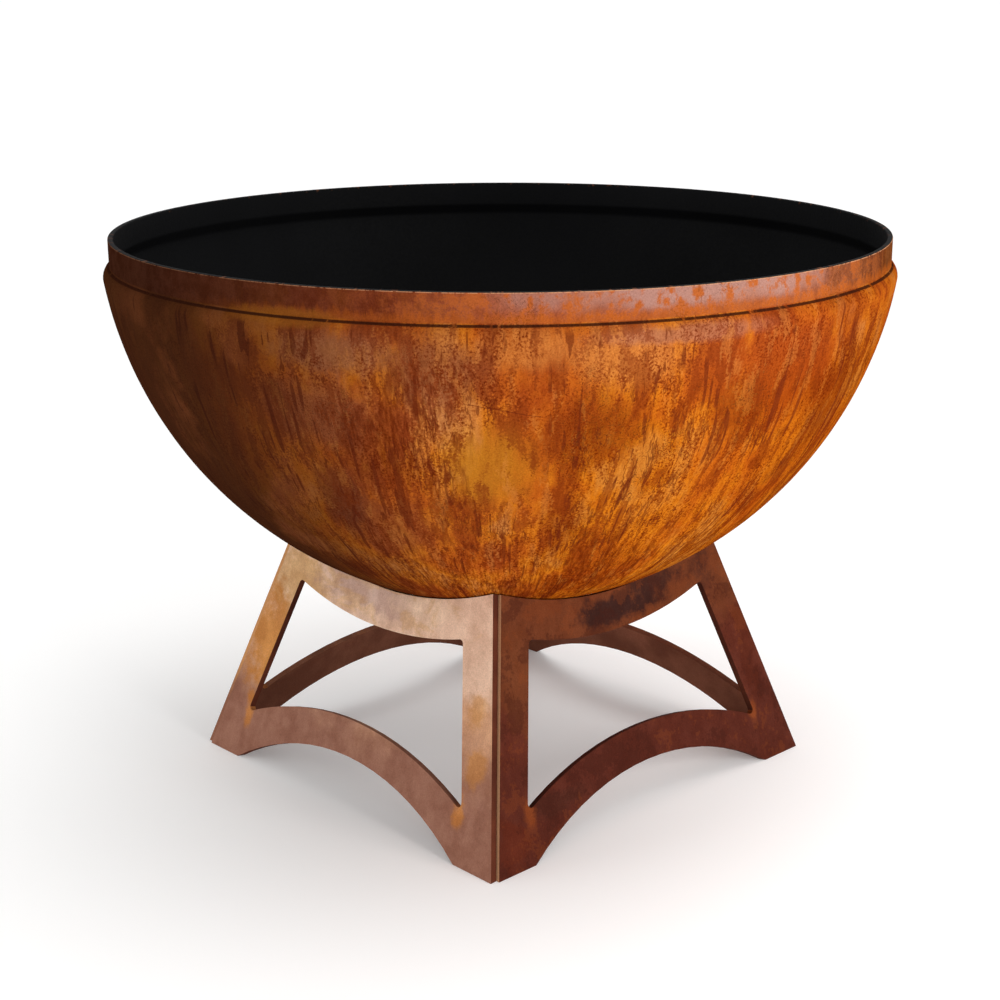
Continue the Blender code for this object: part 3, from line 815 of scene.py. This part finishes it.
def make_ring(radius, z, steel):
    """The grate's outer ring: a round bar, flattened a little top and bottom."""
    bar, half_height = 0.008, 0.0076
    around, sides = 180, 20
    shape = bmesh.new()
    rings = []
    for turn in range(around):
        angle = 2 * pi * turn / around
        ring = []
        for k in range(sides):
            tilt = 2 * pi * k / sides
            way = Vector((cos(angle) * cos(tilt), sin(angle) * cos(tilt), sin(tilt)))
            middle = Vector((radius * cos(angle), radius * sin(angle), z))
            sink = 0.0003 * (0.5 + 0.5 * noise.noise((middle + way * bar) * 90.0))
            reach = min(bar, half_height / max(abs(sin(tilt)), 0.01))
            ring.append(shape.verts.new(middle + way * (reach - sink)))
        rings.append(ring)
    for turn in range(around):
        here, there = rings[turn], rings[(turn + 1) % around]
        for k in range(sides):
            after = (k + 1) % sides
            shape.faces.new((here[k], there[k], there[after], here[after])).smooth = True
    bmesh.ops.recalc_face_normals(shape, faces=shape.faces)
    mesh = bpy.data.meshes.new("rolled_ring")
    shape.to_mesh(mesh)
    shape.free()
    mesh.materials.append(steel)
    place_piece("rolled_ring", mesh, "grate", ["grate_ring"])


def make_tacks(index, y, z, ring_radius, steel):
    """Two small welds where a bar lies on the ring."""
    x = sqrt(ring_radius ** 2 - y ** 2) - 0.010
    for name, side in (("left", -1), ("right", 1)):
        shape = bmesh.new()
        bmesh.ops.create_icosphere(shape, subdivisions=3, radius=1.0)
        for vertex in shape.verts:
            way = vertex.co.copy()
            lump = 1.0 + 0.18 * noise.noise(way * 2.1 + Vector((index, side, 0)))
            vertex.co = Vector((side * x + way.x * 0.0055 * lump, y + way.y * 0.0088 * lump,
                                z + 0.0006 + way.z * 0.0032 * lump))
        for face in shape.faces:
            face.smooth = True
        mesh = bpy.data.meshes.new("tack")
        shape.to_mesh(mesh)
        shape.free()
        mesh.materials.append(steel)
        place_piece(f"tack_{index}_{name}", mesh, "grate")


def finish_node(name, material, edge):
    """A CAD node that keeps its shape: its own material, and its sharp edges just broken."""
    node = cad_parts[name]
    node.data.materials.clear()
    node.data.materials.append(material)
    bevel = node.modifiers.new("broken edges", "BEVEL")
    bevel.width = edge
    bevel.segments = 2
    bevel.limit_method = "ANGLE"
    bevel.angle_limit = radians(40)


def make_base():
    for side in SIDES:
        finish_node(f"base_plate_{side}", plate_rust(side), 0.0004)
    make_welds()


# ---------------------------------------------------------------- studio

def plain_material(name, colour, roughness):
    material = bpy.data.materials.new(name)
    material.use_nodes = True
    shader = material.node_tree.nodes["Principled BSDF"]
    shader.inputs["Base Color"].default_value = (*colour, 1.0)
    shader.inputs["Roughness"].default_value = roughness
    return material


def make_stage():
    """A white paper floor that glows a little, so that it comes out as pale as the background."""
    bpy.ops.mesh.primitive_plane_add(size=160.0, location=(0, 0, -0.0002))
    floor = bpy.context.object
    floor.name = "studio_floor"
    paper = plain_material("pale_floor", (0.90, 0.90, 0.895), 0.9)
    glow = paper.node_tree.nodes["Principled BSDF"].inputs
    glow["Emission Color"].default_value = (1.0, 1.0, 1.0, 1.0)
    glow["Emission Strength"].default_value = 0.15
    floor.data.materials.append(paper)


def aim(thing, place, target):
    thing.location = place
    thing.rotation_euler = (Vector(target) - Vector(place)).to_track_quat("-Z", "Y").to_euler()


def around(turn, distance, height):
    """A place at an angle round the bowl's axis from the camera, to its right, and so far from the axis."""
    angle = CAMERA_AZIMUTH + turn
    return Vector((distance * cos(angle), distance * sin(angle), height))


def add_light(name, data, place, target):
    light = bpy.data.objects.new(name, data)
    bpy.context.scene.collection.objects.link(light)
    light.visible_camera = False
    aim(light, place, target)


def add_sun(name, strength, spread, place, target):
    data = bpy.data.lights.new(name, "SUN")
    data.energy = strength
    data.angle = spread
    add_light(name, data, place, target)


def add_softbox(name, power, width, height, place, target):
    data = bpy.data.lights.new(name, "AREA")
    data.shape = "RECTANGLE"
    data.size = width
    data.size_y = height
    data.energy = power
    add_light(name, data, place, target)


def make_lights():
    world = bpy.data.worlds.new("studio")
    bpy.context.scene.world = world
    world.use_nodes = True
    background = world.node_tree.nodes["Background"]
    background.inputs["Color"].default_value = (1.0, 1.0, 1.0, 1.0)
    background.inputs["Strength"].default_value = 0.48
    middle = (0.0, 0.0, 0.4)
    add_sun("overhead", 1.5, radians(60), around(radians(150), 1.0, 4.0), middle)
    add_sun("left_fill", 0.8, radians(50), around(radians(-75), 4.0, 1.2), middle)
    add_softbox("key", 42.0, 1.1, 1.5, around(radians(46), 2.4, 0.78), middle)


def make_camera():
    data = bpy.data.cameras.new("camera")
    data.sensor_width = 36.0
    data.lens = CAMERA_LENS
    data.shift_x = CAMERA_SHIFT
    data.clip_end = 300.0
    camera = bpy.data.objects.new("camera", data)
    bpy.context.scene.collection.objects.link(camera)
    camera.location = around(0.0, CAMERA_DISTANCE, CAMERA_HEIGHT)
    look = Matrix.Rotation(CAMERA_TURN, 4, "Z") @ Matrix.Rotation(pi / 2 - CAMERA_PITCH, 4, "X")
    camera.rotation_euler = (look @ Matrix.Rotation(CAMERA_ROLL, 4, "Z")).to_euler()
    bpy.context.scene.camera = camera
    bpy.context.scene.view_settings.view_transform = "Standard"


make_camera()
make_lights()
make_stage()
make_bowl()
make_base()
make_grate()
